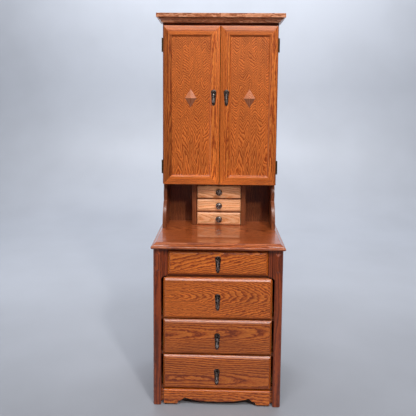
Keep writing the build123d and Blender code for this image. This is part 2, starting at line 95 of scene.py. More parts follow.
def easedBoard(lo, hi, ease, steps=3):
    # a point of the unit sphere pushed out to the nearest corner of the shrunken box:
    # corner of (half - ease) plus ease times the sphere's own direction
    lo, hi = np.array(lo, float), np.array(hi, float)
    half = (hi - lo) / 2
    ease = min(ease, half.min() * 0.98)
    quarter = np.linspace(0, math.pi / 2, steps + 1)
    bearing = np.concatenate([quarter + k * math.pi / 2 for k in range(4)])
    signX = np.repeat([1, -1, -1, 1], steps + 1)
    signY = np.repeat([1, 1, -1, -1], steps + 1)
    height = np.concatenate([quarter - math.pi / 2, quarter])
    signZ = np.repeat([-1, 1], steps + 1)
    across = np.cos(height)[:, None]
    x = signX * (half[0] - ease) + ease * across * np.cos(bearing)
    y = signY * (half[1] - ease) + ease * across * np.sin(bearing)
    z = np.repeat((signZ * (half[2] - ease) + ease * np.sin(height))[:, None], len(bearing), 1)
    return np.stack([x, y, z], -1) + (lo + hi) / 2


def roundedRing(halfU, halfV, radii, steps=5):
    # rounded rectangle, one quarter circle per corner: corner centre plus radius times (cos, sin);
    # radii are for the corners right-top, left-top, left-bottom and right-bottom
    ring = []
    for k, radius in enumerate(radii):
        turn = np.linspace(0, math.pi / 2, steps + 1) + k * math.pi / 2
        signU, signV = (1, -1, -1, 1)[k], (1, 1, -1, -1)[k]
        radius = max(radius, 1e-5)
        u = signU * (halfU - radius) + radius * np.cos(turn)
        v = signV * (halfV - radius) + radius * np.sin(turn)
        ring.append(np.stack([u, v], -1))
    return np.concatenate(ring)


def insetOutline(outline, amount):
    # moves each point of a counter-clockwise outline inwards along the mean of its two edge normals
    ahead = np.roll(outline, -1, 0) - outline
    ahead /= np.linalg.norm(ahead, axis=1)[:, None]
    behind = np.roll(ahead, 1, 0)
    normal = np.stack([-ahead[:, 1] - behind[:, 1], ahead[:, 0] + behind[:, 0]], -1)
    length = np.linalg.norm(normal, axis=1)[:, None]
    normal /= length
    miter = np.clip(2 / length, 1, 1.6)
    return outline + normal * miter * amount


def easedPlate(outline, place, near, far, ease, steps=3):
    # an outline carried from near to far, drawn in by a quarter circle at both faces
    turn = np.linspace(0, math.pi / 2, steps + 1)
    inset = np.concatenate([ease * (1 - np.sin(turn)), ease * (1 - np.cos(turn))])
    sign = 1 if far > near else -1
    depth = np.concatenate([near + sign * ease * (1 - np.cos(turn)), far - sign * ease * (1 - np.sin(turn))])
    return np.stack([place(insetOutline(outline, i), d) for i, d in zip(inset, depth)])


def facing(points, y):
    # an outline drawn in X and Z, stood at depth y
    return np.stack([points[:, 0], np.full(len(points), y), points[:, 1]], -1)


def sideways(points, x):
    # an outline drawn in Y and Z, stood at x
    return np.stack([np.full(len(points), x), points[:, 0], points[:, 1]], -1)


def arc(start, end, bulge, count):
    # points from start to end on a parabola that stands bulge to the left of the straight line
    start, end = np.array(start, float), np.array(end, float)
    t = np.linspace(0, 1, count)[:, None]
    along = end - start
    left = np.array([-along[1], along[0]]) / np.linalg.norm(along)
    return start + along * t + left * (4 * bulge * t * (1 - t))


def smoothThrough(places, values, at):
    # a smooth curve through the given values: cubics that share one slope where they meet
    places, values = np.array(places, float), np.array(values, float)
    index = np.clip(np.searchsorted(places, at, side="right") - 1, 0, len(places) - 2)
    t = (at - places[index]) / (places[index + 1] - places[index])
    slope = np.gradient(values, places)
    gap = places[index + 1] - places[index]
    return (
        (2 * t**3 - 3 * t**2 + 1) * values[index]
        + (t**3 - 2 * t**2 + t) * gap * slope[index]
        + (3 * t**2 - 2 * t**3) * values[index + 1]
        + (t**3 - t**2) * gap * slope[index + 1]
    )


def linearColour(hexText):
    parts = [int(hexText[i : i + 2], 16) / 255 for i in (1, 3, 5)]
    return tuple(c / 12.92 if c <= 0.04045 else ((c + 0.055) / 1.055) ** 2.4 for c in parts) + (1.0,)


def addNode(tree, kind, settings=None, links=None):
    # settings: attributes by name, or input values by index or socket name. links: for each input, by
    # index or name or as a list in order, a socket, a node (its first output) or a plain number
    node = tree.nodes.new(kind)
    for key, value in (settings or {}).items():
        if isinstance(key, str) and hasattr(node, key):
            setattr(node, key, value)
        else:
            node.inputs[key].default_value = value
    for key, source in enumerate(links) if isinstance(links, list) else (links or {}).items():
        if isinstance(source, (int, float)):
            node.inputs[key].default_value = source
        else:
            tree.links.new(getattr(source, "outputs", [source])[0], node.inputs[key])
    return node


# settings of the arithmetic nodes
plus, minus, times, dividedBy, timesPlus = (
    {"operation": name} for name in ("ADD", "SUBTRACT", "MULTIPLY", "DIVIDE", "MULTIPLY_ADD")
)


def newMaterial(name):
    material = bpy.data.materials.new(name)
    material.use_nodes = True
    tree = material.node_tree
    tree.nodes.clear()
    shader = addNode(tree, "ShaderNodeBsdfPrincipled")
    addNode(tree, "ShaderNodeOutputMaterial", links={"Surface": shader.outputs["BSDF"]})
    return material, tree, shader


# world directions of a board's own across, depth and along-the-grain axes
boardFrames = {
    "frontUp": ((1, 0, 0), (0, 1, 0), (0, 0, 1)),
    "frontAcross": ((0, 0, -1), (0, 1, 0), (1, 0, 0)),
    "sideUp": ((0, 1, 0), (-1, 0, 0), (0, 0, 1)),
    "topAcross": ((0, 1, 0), (0, 0, 1), (1, 0, 0)),
    "sideDeep": ((0, 0, 1), (1, 0, 0), (0, 1, 0)),
}

# Plain-sawn oak under amber lacquer. Growth rings are 3 to 8 mm, drawn at 6 so that they show;
# pores are 0.3 mm wide and up to 10 mm long, dark with old stain; the film on top is glossy.
oakFinishes = {
    "door": dict(dark="#9C410E", mid="#CC6523", light="#E98538", pore="#602508", coat=0.55, coatRough=0.16),
    "panel": dict(dark="#993B0B", mid="#C96321", light="#E28039", pore="#652405", coat=0.5, coatRough=0.2),
    "diamond": dict(dark="#B4603A", mid="#CC7A50", light="#DC9068", pore="#8A4526", coat=0.3, coatRough=0.35),
    "drawer": dict(dark="#8C3807", mid="#BE5A17", light="#DA7929", pore="#551D03", coat=0.9, coatRough=0.24),
    "small": dict(dark="#E6985F", mid="#F4AE7C", light="#FBC092", pore="#A9683F", coat=0.9, coatRough=0.26),
    "carcass": dict(dark="#6A331A", mid="#824524", light="#8F502B", pore="#4E2512", coat=0.6, coatRough=0.2),
    "post": dict(dark="#652607", mid="#86350E", light="#9A4314", pore="#461705", coat=0.9, coatRough=0.24),
    "desk": dict(dark="#8F411A", mid="#B05828", light="#C26A38", pore="#612810", coat=1.0, coatRough=0.06),
    "cornice": dict(dark="#9A542E", mid="#BF7349", light="#DC9B76", pore="#633017", coat=0.6, coatRough=0.15),
    "plain": dict(dark="#A0764A", mid="#BE9566", light="#CFAB7E", pore="#7E5830", coat=0.1, coatRough=0.4),
}


def boardSpace(tree, turn, centre, tilt=0.0):
    # Object coordinates turned so that x runs across the board, y into it and z along its grain,
    # swung by tilt degrees in the board's own face
    axes = Matrix(boardFrames[turn]).transposed() @ Matrix.Rotation(math.radians(tilt), 3, "Y")
    place = addNode(tree, "ShaderNodeTexCoord")
    local = addNode(
        tree,
        "ShaderNodeMapping",
        {"vector_type": "TEXTURE", "Location": centre, "Rotation": axes.to_euler()},
        {"Vector": place.outputs["Object"]},
    )
    return local.outputs["Vector"]


def stretchedNoise(tree, board, acrossMm, alongMm, detail, shift, seed):
    # noise whose blots are acrossMm wide and alongMm long; shift and seed pick different parts of it
    scaled = addNode(
        tree,
        "ShaderNodeMapping",
        {
            "Location": (shift, seed * 7.3 + shift, seed * 3.1),
            "Scale": (1 / (acrossMm * mm), 1 / (acrossMm * mm), 1 / (alongMm * mm)),
        },
        {"Vector": board},
    )
    settings = {"Scale": 1.0, "Detail": detail, "Roughness": 0.55}
    noise = addNode(tree, "ShaderNodeTexNoise", settings, {"Vector": scaled.outputs["Vector"]})
    return noise.outputs["Fac"]


def wander(tree, board, acrossMm, alongMm, detail, shift, seed):
    # the same noise, centred on zero
    noise = stretchedNoise(tree, board, acrossMm, alongMm, detail, shift, seed)
    return addNode(tree, "ShaderNodeMath", minus, [noise, 0.5])


def lacqueredWood(tree, shader, board, phase, look, seed, tone, line=0.3):
    # phase counts growth rings: its fraction picks dark late wood, for about line of a ring, then mid,
    # then light early wood; each ring, streak and blotch shifts the tone, and pores are dark dashes in
    # the early wood
    share = addNode(tree, "ShaderNodeMath", {"operation": "FRACT"}, [phase])
    year = addNode(tree, "ShaderNodeMath", {"operation": "FLOOR"}, [phase])
    yearly = addNode(tree, "ShaderNodeTexWhiteNoise", {"noise_dimensions": "1D"}, {"W": year})
    ramp = addNode(tree, "ShaderNodeValToRGB", links={"Fac": share})
    stops = ramp.color_ramp.elements
    stops[0].position, stops[0].color = 0.0, linearColour(look["mid"])
    stops[1].position, stops[1].color = 1.0, linearColour(look["mid"])
    for position, key in ((line * 0.35, "dark"), (line * 0.75, "dark"), (line * 1.4, "mid"), (0.82, "light")):
        stops.new(position).color = linearColour(look[key])
    streak = stretchedNoise(tree, board, 4, 70, 2.0, 8.8, seed)
    blotch = stretchedNoise(tree, board, 90, 260, 1.0, 2.9, seed)
    shade = 0.3
    for variation, amount in ((streak, 0.7), (blotch, 0.45), (yearly.outputs["Value"], 0.22)):
        shade = addNode(tree, "ShaderNodeMath", timesPlus, [variation, amount, shade])
    # tone scales the whole colour; on the door frames, drawer fronts and diamonds it carries painted light
    # and shade
    shade = addNode(tree, "ShaderNodeMath", times, [shade, tone])
    toned = addNode(tree, "ShaderNodeVectorMath", {"operation": "SCALE"}, {0: ramp, "Scale": shade})
    poreNoise = stretchedNoise(tree, board, 0.8, 10, 1.0, 5.5, seed)
    early = addNode(tree, "ShaderNodeMapRange", {1: 0.6, 2: 0.25, 3: 0.0, 4: 1.0}, {0: share})
    pore = addNode(tree, "ShaderNodeMapRange", {1: 0.56, 2: 0.66, 3: 0.0, 4: 1.0}, {0: poreNoise})
    poreStrength = addNode(tree, "ShaderNodeMath", timesPlus, [early, 0.55, 0.25])
    poreMask = addNode(tree, "ShaderNodeMath", times, [pore, poreStrength])
    settings = {"data_type": "RGBA", 7: linearColour(look["pore"])}
    colour = addNode(tree, "ShaderNodeMix", settings, {0: poreMask, 6: toned})
    tree.links.new(colour.outputs[2], shader.inputs["Base Color"])
    rough = addNode(tree, "ShaderNodeMath", timesPlus, [streak, 0.2, 0.34])
    tree.links.new(rough.outputs[0], shader.inputs["Roughness"])
    ridge = addNode(tree, "ShaderNodeMath", times, [streak, 0.25])
    height = addNode(tree, "ShaderNodeMath", timesPlus, [poreMask, -0.6, ridge])
    bump = addNode(tree, "ShaderNodeBump", {"Strength": 0.5, "Distance": 0.25 * mm}, {"Height": height})
    tree.links.new(bump.outputs["Normal"], shader.inputs["Normal"])
    shader.inputs["IOR"].default_value = 1.5
    shader.inputs["Specular IOR Level"].default_value = 0.3
    shader.inputs["Coat Weight"].default_value = look["coat"]
    shader.inputs["Coat Roughness"].default_value = look["coatRough"]
    shader.inputs["Coat IOR"].default_value = 1.5


def oak(
    name, finish, turn, centre, ring=6.0, pith=(0.0, 60.0), taper=0.0, start=0.0, feather=4.0, seed=0.0,
    tone=1.0, tilt=0.0,
):
    # ring radius = distance from the pith line, which lies pith mm below the face and sinks by taper
    # per unit along the grain from start; slow noise bends it and quick noise feathers it
    material, tree, shader = newMaterial(name)
    board = boardSpace(tree, turn, centre, tilt)
    split = addNode(tree, "ShaderNodeSeparateXYZ", links={"Vector": board})
    across, depth, along = (split.outputs[k] for k in range(3))
    sweep = wander(tree, board, 70, 420, 1.0, 1.7, seed)
    jag = wander(tree, board, 8, 20, 1.5, 4.2, seed)
    x = addNode(tree, "ShaderNodeMath", minus, [across, pith[0] * mm])
    grown = addNode(tree, "ShaderNodeMath", minus, [along, start * mm])
    sunk = addNode(tree, "ShaderNodeMath", timesPlus, [grown, taper, pith[1] * mm])
    y = addNode(tree, "ShaderNodeMath", plus, [depth, sunk])
    squareX, squareY = (addNode(tree, "ShaderNodeMath", times, [value, value]) for value in (x, y))
    square = addNode(tree, "ShaderNodeMath", plus, [squareX, squareY])
    radius = addNode(tree, "ShaderNodeMath", {"operation": "SQRT"}, [square])
    for noise, reach in ((sweep, 26), (jag, feather * 2)):
        radius = addNode(tree, "ShaderNodeMath", timesPlus, [noise, reach * mm, radius])
    phase = addNode(tree, "ShaderNodeMath", dividedBy, [radius, ring * mm])
    lacqueredWood(tree, shader, board, phase, oakFinishes[finish], seed, tone)
    return material


# Sliced veneer over strongly waved wood: nested zigzag lines 13 mm apart that stretch into tall
# flames towards the foot of the panel
flame = dict(
    wave=37.0,  # one zigzag, mm across
    swing=27.0,  # its height
    fall=0.45,  # slope of the broad peak
    fine=13.0,  # spacing of the lines above turnHeight
    coarse=42.0,  # and below it
    turnHeight=230.0,
    drift=60.0,
    jag=12.0,
    uneven=15.0,
    tone=0.92,
    line=0.24,
)


def flameVeneer(name, centre, seed, lean):
    # phase = height counted in lines, plus a zigzag (triangle wave) across and a broad peak, with quick
    # noise that roughens each line and slow noise that crowds and spreads them
    material, tree, shader = newMaterial(name)
    board = boardSpace(tree, "frontUp", centre)
    split = addNode(tree, "ShaderNodeSeparateXYZ", links={"Vector": board})
    across, height = split.outputs[0], split.outputs[2]
    drift = wander(tree, board, 60, 130, 1.0, 1.3, seed)
    jag = wander(tree, board, 13, 22, 2.5, 4.2, seed)
    uneven = wander(tree, board, 45, 30, 1.0, 6.1, seed)
    leaning = addNode(tree, "ShaderNodeMath", minus, [across, lean * mm])
    x = addNode(tree, "ShaderNodeMath", timesPlus, [drift, flame["drift"] * mm, leaning])
    zigzag = addNode(tree, "ShaderNodeMath", {"operation": "PINGPONG"}, [x, flame["wave"] / 2 * mm])
    lift = addNode(tree, "ShaderNodeMath", times, [zigzag, 2 * flame["swing"] / flame["wave"]])
    aside = addNode(tree, "ShaderNodeMath", {"operation": "ABSOLUTE"}, [x])
    peak = addNode(tree, "ShaderNodeMath", times, [aside, flame["fall"]])
    bent = addNode(tree, "ShaderNodeMath", plus, [lift, peak])
    for noise, reach in ((jag, flame["jag"]), (uneven, flame["uneven"])):
        bent = addNode(tree, "ShaderNodeMath", timesPlus, [noise, reach * mm, bent])
    bent = addNode(tree, "ShaderNodeMath", dividedBy, [bent, flame["fine"] * mm])
    low = addNode(tree, "ShaderNodeMath", dividedBy, [height, flame["coarse"] * mm])
    above = addNode(tree, "ShaderNodeMath", minus, [height, flame["turnHeight"] * mm])
    over = addNode(tree, "ShaderNodeMath", {"operation": "SMOOTH_MAX"}, [above, 0.0, 0.12])
    slope = (1 / flame["fine"] - 1 / flame["coarse"]) / mm
    counted = addNode(tree, "ShaderNodeMath", timesPlus, [over, slope, low])
    phase = addNode(tree, "ShaderNodeMath", plus, [counted, bent])
    lacqueredWood(tree, shader, board, phase, oakFinishes["panel"], seed, flame["tone"], flame["line"])
    return material


def castBronze(name, deep, raised, smooth):
    # cast bronze with a dark antique patina, rubbed brighter where fingers reach: blotches of two browns 6 mm
    # across over fine casting pits; the rubbed copy is also painted paler as a highlight
    material, tree, shader = newMaterial(name)
    place = addNode(tree, "ShaderNodeTexCoord").outputs["Object"]
    blotch = addNode(tree, "ShaderNodeTexNoise", {"Scale": 160.0, "Detail": 4.0}, {"Vector": place})
    ramp = addNode(tree, "ShaderNodeValToRGB", links={"Fac": blotch})
    stops = ramp.color_ramp.elements
    stops[0].position, stops[0].color = 0.4, linearColour(deep)
    stops[1].position, stops[1].color = 0.68, linearColour(raised)
    tree.links.new(ramp.outputs["Color"], shader.inputs["Base Color"])
    rough = addNode(tree, "ShaderNodeMapRange", {1: 0.3, 2: 0.7, 3: smooth, 4: smooth + 0.2}, {0: blotch})
    tree.links.new(rough.outputs[0], shader.inputs["Roughness"])
    pits = addNode(tree, "ShaderNodeTexNoise", {"Scale": 900.0, "Detail": 2.0}, {"Vector": place})
    bump = addNode(tree, "ShaderNodeBump", {"Strength": 0.3, "Distance": 0.15 * mm}, {"Height": pits})
    tree.links.new(bump.outputs["Normal"], shader.inputs["Normal"])
    shader.inputs["Metallic"].default_value = 0.95
    return material


def stampedMetal(name, colour, rough):
    # rolled and stamped sheet metal: fine scratches along Z, 0.4 mm apart
    material, tree, shader = newMaterial(name)
    place = addNode(tree, "ShaderNodeTexCoord").outputs["Object"]
    drawn = addNode(tree, "ShaderNodeMapping", {"Scale": (2500.0, 2500.0, 90.0)}, {"Vector": place})
    scratch = addNode(tree, "ShaderNodeTexNoise", {"Scale": 1.0, "Detail": 2.0}, {"Vector": drawn})
    settings = {1: 0.3, 2: 0.7, 3: rough - 0.08, 4: rough + 0.1}
    worn = addNode(tree, "ShaderNodeMapRange", settings, {0: scratch})
    tree.links.new(worn.outputs[0], shader.inputs["Roughness"])
    shader.inputs["Base Color"].default_value = linearColour(colour)
    shader.inputs["Metallic"].default_value = 0.95
    return material


def mouldedPlastic():
    # brown moulded plastic with a fine spark-eroded grain, 0.6 mm
    material, tree, shader = newMaterial("mouldedPlastic")
    place = addNode(tree, "ShaderNodeTexCoord").outputs["Object"]
    grain = addNode(tree, "ShaderNodeTexNoise", {"Scale": 1600.0, "Detail": 2.0}, {"Vector": place})
    bump = addNode(tree, "ShaderNodeBump", {"Strength": 0.2, "Distance": 0.1 * mm}, {"Height": grain})
    tree.links.new(bump.outputs["Normal"], shader.inputs["Normal"])
    shader.inputs["Base Color"].default_value = linearColour("#3A281D")
    shader.inputs["Roughness"].default_value = 0.5
    return material


bronze = castBronze("antiqueBronze", "#1C1513", "#8A7A72", 0.26)
# bronze rubbed by fingers, painted near white as a highlight as well
rubbedAndSheenBronze = castBronze("rubbedAndSheenBronze", "#6E625C", "#E0D6CF", 0.24)
hingeMetal = stampedMetal("darkenedBrass", "#5A4A38", 0.4)
pinSteel = stampedMetal("platedSteel", "#B8B8B4", 0.3)
catchPlastic = mouldedPlastic()


def middle(node):
    lo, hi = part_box(node)
    return (lo + hi) / 2


def finish(piece, body, slot, material, *nodes):
    # face-area weighting keeps broad faces flat beside their narrow rounded edges
    weighted = piece.modifiers.new("flatFaces", "WEIGHTED_NORMAL")
    weighted.keep_sharp = True
    weighted.weight = 80
    piece.data.materials.append(material)
    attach(piece, body)
    if nodes:
        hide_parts(*nodes)
    return piece


def dress(node, material):
    # a CAD node that stays gets its material in every slot
    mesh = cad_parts[node].data
    mesh.materials.clear()
    mesh.materials.append(material)


chest = dict(
    boardEase=1.5 * mm,
    postOuter=11 * mm,
    postInner=3 * mm,
    prismHalf=12 * mm,
    prismRise=5 * mm,
    prismHip=12 * mm,
    prismLow=630 * mm,
    prismHigh=716 * mm,
    prismFromInner=13 * mm,
    footEase=3 * mm,
)


def easedPost(x0, x1, y0, y1, z0, z1, side):
    # rounded rectangles stacked from the drawn-in foot to the top; the outer front edge is the roundest
    halfX, halfY = (x1 - x0) / 2, (y1 - y0) / 2
    centre = np.array([(x0 + x1) / 2, (y0 + y1) / 2])
    back, foot = chest["boardEase"], chest["footEase"]
    front = [chest["postOuter"], chest["postInner"]]
    if side > 0:
        front.reverse()
    rings = []
    for inset, z in ((foot, z0), (foot * 0.3, z0 + foot * 0.4), (0, z0 + foot * 1.4), (0, z1)):
        radii = [max(r - inset, 0.3 * mm) for r in [back, back] + front]
        ring = roundedRing(halfX - inset, halfY - inset, radii) + centre
        rings.append(np.concatenate([ring, np.full((len(ring), 1), z)], 1))
    return np.stack(rings)


def cornerPost(side, node):
    # square section with rounded front edges, drawn in at the foot, and on its face beside the top
    # drawer a raised prism: a ridge down the middle, sloping to the face on all four sides
    lo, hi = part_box(node)
    rise, half, hip = (chest[k] for k in ("prismRise", "prismHalf", "prismHip"))
    low, high = chest["prismLow"], chest["prismHigh"]
    face = lo.y + rise
    post = easedPost(lo.x, hi.x, face, hi.y, lo.z, hi.z, side)
    x = (hi.x if side < 0 else lo.x) + side * chest["prismFromInner"]
    rings = []
    for share, out in ((1, -0.5 * mm), (1, 0.5 * mm), (0.06, rise * 0.96), (0.02, rise)):
        w, dz = half * share, hip * (1 - share)
        ring = np.array([(w, high - dz), (-w, high - dz), (-w, low + dz), (w, low + dz)])
        rings.append(facing(ring + (x, 0), face - out))
    piece = ringGroup(node + "_carved", [post, np.stack(rings)], 20)
    figure = dict(pith=(side * 30, 90), seed=3 + side, feather=2.0)
    wood = oak(node + "Oak", "post", "frontUp", (x, face, 0.3), **figure)
    finish(piece, "root", "oak_carcass", wood, node)


cornerPost(-1, "front_post_left")
cornerPost(1, "front_post_right")


def sidePanels():
    for side, node in ((-1, "side_panel_left"), (1, "side_panel_right")):
        lo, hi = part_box(node)
        piece = ringPiece(node + "_board", easedBoard(lo, hi, chest["boardEase"]))
        figure = dict(ring=7, pith=(20, 70), taper=0.16, start=-420, seed=5 + side)
        wood = oak(node + "Oak", "carcass", "sideUp", middle(node), **figure)
        finish(piece, "root", "oak_carcass", wood, node)


sidePanels()


stileLook = dict(inner=225.5 * mm, step=245 * mm, scoop=18 * mm, setBack=7.5 * mm)


def topStiles():
    # a strip flush with the post and a stile set back from it; below, both are cut by one quarter
    # hollow that follows the corner of the drawer underneath
    lo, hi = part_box("top_drawer_stiles")
    inner, step, radius = stileLook["inner"], stileLook["step"], stileLook["scoop"]
    centreX, centreZ = hi.x - radius, lo.z

    def scooped(start, end, flat, face):
        x = np.linspace(start, end, 7)
        z = centreZ + np.sqrt(np.clip(radius**2 - (x - centreX) ** 2, 0, None))
        lower = np.stack([x, z], -1).tolist()
        corner = [(flat, centreZ + radius)] if flat < start else []
        return [(end, hi.z), (flat, hi.z)] + corner + lower, face

    stacks = []
    for outline, face in (
        scooped(centreX, step, inner, lo.y + stileLook["setBack"]),
        scooped(step, hi.x, step, lo.y),
    ):
        for side in (-1, 1):
            shape = np.array(outline) * (side, 1)
            shape = shape if side > 0 else shape[::-1]
            stacks.append(easedPlate(shape, facing, face, hi.y, 1.4 * mm))
    piece = ringGroup("top_drawer_stiles_shaped", stacks)
    wood = oak("stileOak", "post", "frontUp", middle("top_drawer_stiles"), pith=(0, 240), seed=9, feather=2.0)
    finish(piece, "root", "oak_carcass", wood, "top_drawer_stiles")


topStiles()


apron = dict(
    postShare=12 * mm,  # length of each end that stands behind its post
    thick=20 * mm,
    quarterRound=8 * mm,
    ease=1.2 * mm,
    foot=179 * mm,  # half the span between the flat feet
    step=(174 * mm, 20 * mm),  # from the middle, and above the floor
    shelf=(162 * mm, 23 * mm),
    peak=(146 * mm, 37 * mm),
    crown=20 * mm,
)


def apronBoard():
    # flat feet, a small step, a peak, then a long shallow arch, whose height is a sum of the second and
    # fourth powers of the distance from the middle; the top front edge is a quarter round
    lo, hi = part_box("apron")
    low, high, half = lo.z, hi.z, hi.x - apron["postShare"]
    back = lo.y + apron["thick"]
    peak, crown, top = apron["peak"], apron["crown"], apron["quarterRound"]
    x = np.linspace(peak[0], -peak[0], 41)
    rise = np.abs(x) / peak[0]
    arch = crown + (peak[1] - crown) * (0.45 * rise**2 + 0.55 * rise**4)
    edge = [(half, high), (half, low), (apron["foot"], low), apron["step"], apron["shelf"]]
    mirrored = [(-a, b) for a, b in reversed(edge)]
    outline = np.concatenate([edge, np.stack([x, arch], -1), mirrored])[::-1]
    # one ring per depth; the upper edge falls back along a quarter circle towards the front
    rings = []
    for t in np.linspace(0, math.pi / 2, 7):
        ring = insetOutline(outline, apron["ease"] * (1 - math.sin(t)))
        ring[:, 1] = np.where(ring[:, 1] > high - top, high - top * (1 - math.sin(t)) - 0.4 * mm, ring[:, 1])
        rings.append(facing(ring, lo.y + top * (1 - math.cos(t))))
    rings.append(facing(outline, back))
    stacks = [np.stack(rings)]
    for side in (-1, 1):
        x = sorted((side * (half - 2 * mm), side * hi.x))
        stacks.append(easedBoard((x[0], back, low + 2 * mm), (x[1], hi.y, high - top), 0.5 * mm))
    piece = ringGroup("apron_shaped", stacks)
    figure = dict(pith=(40, 90), taper=0.02, start=-300, seed=11)
    wood = oak("apronOak", "drawer", "frontAcross", middle("apron"), **figure)
    finish(piece, "root", "oak_carcass", wood, "apron")


apronBoard()


# the edge's profile, in mm: in from the edge, then up from the underside
desk = dict(
    tuck=16,
    beadReach=6.5,
    beadRise=7,
    quirk=[(6.6, 14.4), (6.4, 15.6)],
    slope=((5.6, 16.2), (20.0, 27.2)),
    hollow=1.6,
    top=(22.0, 27.5),
    cornerCut=1.2,
)


def deskTop():
    # a slab whose front and sides follow one edge profile: bead, quirk, hollow slope; the back is plain.
    # each ring is the slab's outline drawn in by the profile's inset on three sides
    lo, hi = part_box("desk_top")
    reach, rise, corner = desk["beadReach"], desk["beadRise"], desk["cornerCut"] * mm
    turn = np.linspace(0, math.pi * 0.86, 11)
    bead = [(reach - reach * math.sin(t), rise - rise * math.cos(t)) for t in turn]
    slope = arc(*desk["slope"], -desk["hollow"], 8).tolist()
    profile = [(desk["tuck"], 0)] + bead + desk["quirk"] + slope + [desk["top"]]
    rings = []
    for inset, height in np.array(profile) * mm:
        x, front = hi.x - inset, lo.y + inset
        ring = [(x, hi.y), (-x, hi.y), (-x, front + corner), (-x + corner, front)]
        ring += [(x - corner, front), (x, front + corner)]
        rings.append([(px, py, lo.z + height) for px, py in ring])
    piece = ringPiece("desk_top_moulded", np.array(rings), 50)
    figure = dict(ring=7, pith=(30, 80), taper=0.1, start=-350, seed=13)
    wood = oak("deskOak", "desk", "topAcross", middle("desk_top"), **figure)
    finish(piece, "root", "oak_desk_top", wood, "desk_top")


deskTop()
print("chest made")


# the front edge of the side boards, in mm: back along Y, then up from the desk; hollow and nose are
# start, end and bulge
bracket = dict(
    toe=(42, 0),
    hollow=((43, 8), (90, 123), 13),
    step=[(94, 126), (101, 131)],
    nose=((100, 139), (104, 195), 8),
    inner=260 * mm,
    ease=2.5 * mm,
)


def brackets():
    # side boards with an S-shaped front edge: toe, long hollow, a small step and a short round nose
    lo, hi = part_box("cabinet_brackets")
    hollow, nose = arc(*bracket["hollow"], 16), arc(*bracket["nose"], 10)
    front = np.concatenate([[bracket["toe"]], hollow, bracket["step"], nose]) * mm
    front[:, 1] += lo.z
    noseEnd = bracket["nose"][1][0] * mm
    outline = np.concatenate([front, [(noseEnd, hi.z), (hi.y, hi.z), (hi.y, lo.z)]])[::-1]
    stacks = []
    for side in (-1, 1):
        stacks.append(easedPlate(outline, sideways, side * bracket["inner"], side * hi.x, bracket["ease"]))
    piece = ringGroup("cabinet_brackets_shaped", stacks)
    figure = dict(pith=(0, 300), seed=17, feather=2.0)
    wood = oak("bracketOak", "carcass", "sideUp", middle("cabinet_brackets"), **figure)
    finish(piece, "root", "oak_carcass", wood, "cabinet_brackets")


brackets()


caseLook = dict(
    upright=22 * mm,
    divider=5 * mm,
    setBack=4 * mm,  # dividers behind the uprights' front edges
    topGap=3 * mm,
    ease=1.5 * mm,
    dividerEase=0.5 * mm,
)


def smallCase():
    # two uprights and three thin dividers, with eased edges
    lo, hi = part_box("small_drawer_case")
    thick, half, front = caseLook["upright"], caseLook["divider"] / 2, lo.y + caseLook["setBack"]
    stacks = []
    for side in (-1, 1):
        x = sorted((side * (hi.x - thick), side * hi.x))
        stacks.append(easedBoard((x[0], lo.y, lo.z), (x[1], hi.y, hi.z), caseLook["ease"]))
    fronts = [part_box(f"small_drawer_{number}_front") for number in (1, 2, 3)]
    centres = [(upper[0].z + lower[1].z) / 2 for upper, lower in zip(fronts, fronts[1:])]
    levels = [(centre - half, centre + half) for centre in centres]
    levels.append((fronts[0][1].z + caseLook["topGap"], hi.z))
    for low, high in levels:
        near, far = (thick - hi.x, front, low), (hi.x - thick, hi.y, high)
        stacks.append(easedBoard(near, far, caseLook["dividerEase"]))
    piece = ringGroup("small_drawer_case_boards", stacks)
    figure = dict(pith=(0, 150), seed=19, feather=2.0)
    wood = oak("caseOak", "carcass", "frontUp", middle("small_drawer_case"), **figure)
    finish(piece, "root", "oak_carcass", wood, "small_drawer_case")


smallCase()
print("open tier made")


def cabinetSides():
    for side, node in ((-1, "cabinet_side_left"), (1, "cabinet_side_right")):
        lo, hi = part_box(node)
        piece = ringPiece(node + "_board", easedBoard(lo, hi, 1.2 * mm))
        figure = dict(ring=7, pith=(10, 60), taper=0.14, start=-400, seed=21 + side)
        wood = oak(node + "Oak", "carcass", "sideUp", middle(node), **figure)
        finish(piece, "root", "oak_carcass", wood, node)


cabinetSides()


# the profile, in mm: in from the edge, then down from the top; the cove is start, end and bulge
moulding = dict(
    band=[(0.8, 0), (0, 0.8), (0, 18.5), (0.8, 19.4), (7, 19.6)],
    quirk=[(10.4, 20.4), (10.8, 22.6), (8.2, 23.8)],
    coveStart=(7.6, 25),
    coveEnd=(23.5, 2.0),  # this one up from the underside
    coveBulge=3.0,
    under=24.6,
    depth=70,
    cap=12 * mm,
    rail=18 * mm,
)


